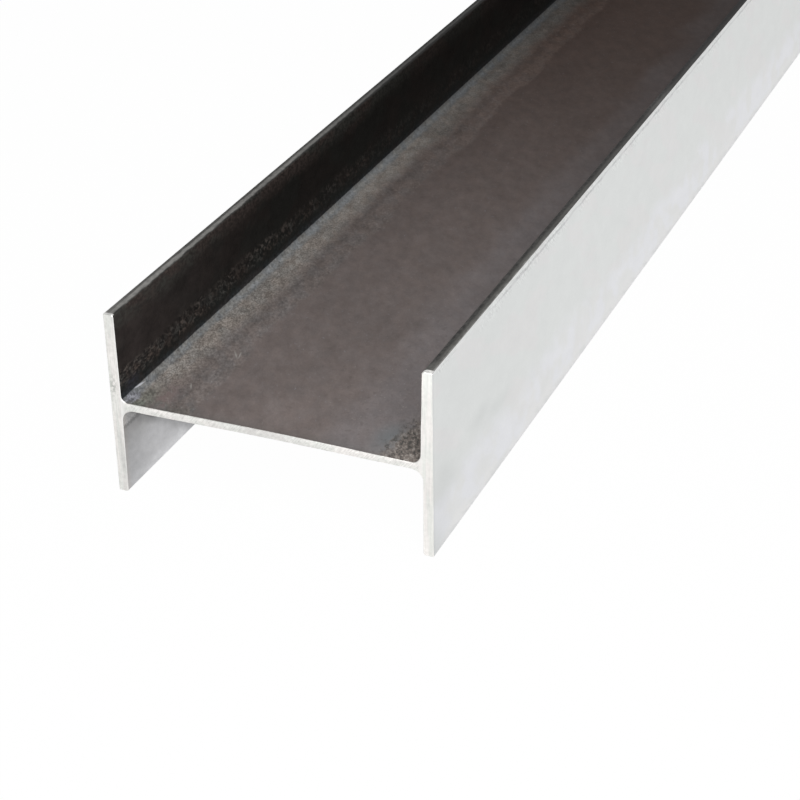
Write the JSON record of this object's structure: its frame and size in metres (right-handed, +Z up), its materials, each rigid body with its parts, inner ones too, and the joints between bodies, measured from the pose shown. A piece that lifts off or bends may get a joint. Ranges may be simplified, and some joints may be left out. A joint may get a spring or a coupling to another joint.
{
  "type": "steel i-beam",
  "caption": "Hot-rolled steel I-beam with parallel flanges, a thin web and rounded roots, sawn square at both ends and laid on its flange toes.",
  "frame": {"origin": "middle of the rectangle that the beam stands on, at mid-length, level with the lower flange toes", "axes": "+Y along the length from the sawn end that faces the viewer, +X across the section from flange to flange, +Z up, square to the web"},
  "size_m": [0.2514, 2, 0.1461],
  "materials": {
    "mill_steel": "as-rolled mill scale, dark inside the channel and pale on the outer faces, bright at the sawn ends"
  },
  "bodies": {
    "root": {"i_beam": "mill_steel"}
  },
  "joints": []
}
